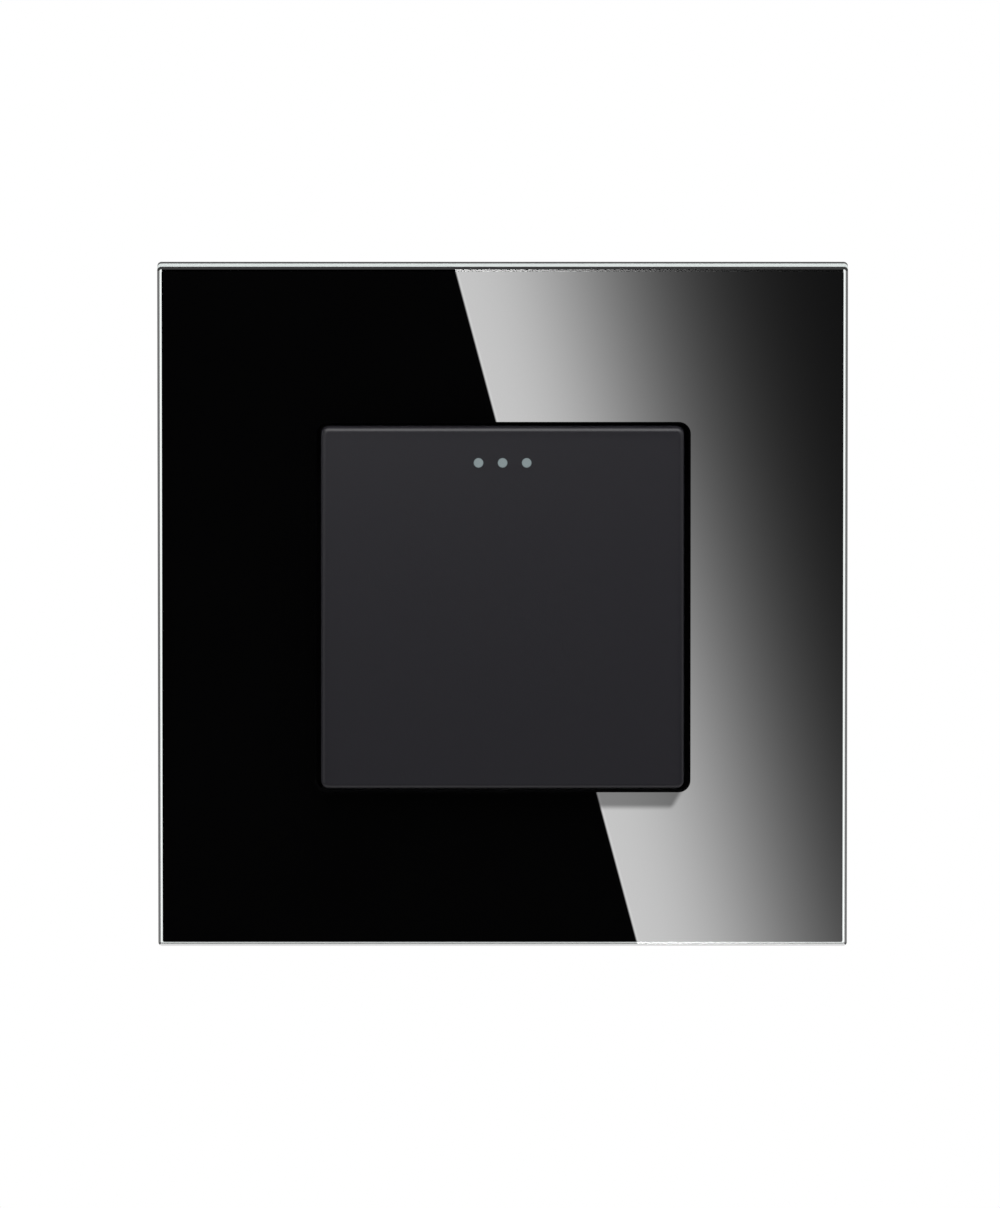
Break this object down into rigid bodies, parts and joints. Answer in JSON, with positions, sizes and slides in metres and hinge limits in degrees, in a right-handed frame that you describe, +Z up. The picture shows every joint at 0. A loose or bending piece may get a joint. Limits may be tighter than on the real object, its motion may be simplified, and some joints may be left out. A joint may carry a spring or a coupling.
{
  "type": "rocker light switch",
  "caption": "Single rocker light switch with a square black glass plate, a proud square key with three indicator dots, a steel yoke and a seesaw contact block.",
  "frame": {"origin": "centre of the box-screw pattern, on the back of the steel yoke where it meets the wall", "axes": "+X to the viewer's right, +Z up, +Y into the wall box; the key faces -Y"},
  "size_m": [0.086, 0.0374, 0.086],
  "materials": {
    "black_glass": "polished, black coating behind",
    "foam": "matte",
    "carrier_plastic": "satin moulded",
    "zinc_steel": "zinc plated",
    "housing_plastic": "moulded",
    "base_plastic": "moulded",
    "brass": "satin",
    "silver": "satin",
    "circuit_board": "solder mask",
    "lamp": "gloss",
    "chip_ceramic": "satin",
    "chip_plastic": "satin",
    "tinned_wire": "tinned",
    "key_plastic": "fine satin",
    "clear_plastic": "clear, lightly frosted",
    "cradle_plastic": "moulded",
    "spring_steel": "drawn",
    "nylon": "moulded",
    "copper_alloy": "satin"
  },
  "bodies": {
    "chassis": {"glass_panel": "black_glass", "bonding_pad": "foam", "carrier_frame": "carrier_plastic", "mounting_yoke": "zinc_steel", "bearing_housing": "housing_plastic", "contact_base": "base_plastic", "common_plate": "brass", "upper_contact_plate": "brass", "lower_contact_plate": "brass", "fixed_contact_tips": "silver", "terminal_pillars": "brass", "terminal_screws": "zinc_steel", "lamp_board": "circuit_board", "lamp_chip": "lamp", "lamp_resistor": "chip_ceramic", "lamp_diode": "chip_plastic", "lamp_leads": "tinned_wire"},
    "rocker": {"rocker_key": "key_plastic", "light_guide": "clear_plastic", "rocker_cradle": "cradle_plastic", "plunger_spring": "spring_steel"},
    "plunger": {"plunger": "nylon"},
    "seesaw": {"seesaw_contact": "copper_alloy", "moving_contact_tips": "silver"}
  },
  "joints": [
    {"name": "rocker_pivot", "type": "hinge", "parent": "chassis", "child": "rocker", "pos_m": [0, -0.006, 0], "axis": [1, 0, 0], "range_deg": [0, 8]},
    {"name": "plunger_slide", "type": "slide", "parent": "rocker", "child": "plunger", "axis": [0, -0.9976, 0.0698], "range_m": [0, 0.0008], "stiffness_N_per_m": 800, "springref_m": -0.0015, "deforming": ["plunger_spring"]},
    {"name": "seesaw_pivot", "type": "hinge", "parent": "chassis", "child": "seesaw", "pos_m": [0, 0.00915, 0], "axis": [1, 0, 0], "range_deg": [-10, 0]}
  ],
  "couplings": [
    {"joint": "seesaw_pivot", "follows": "rocker_pivot", "ratio": -1.25}
  ]
}
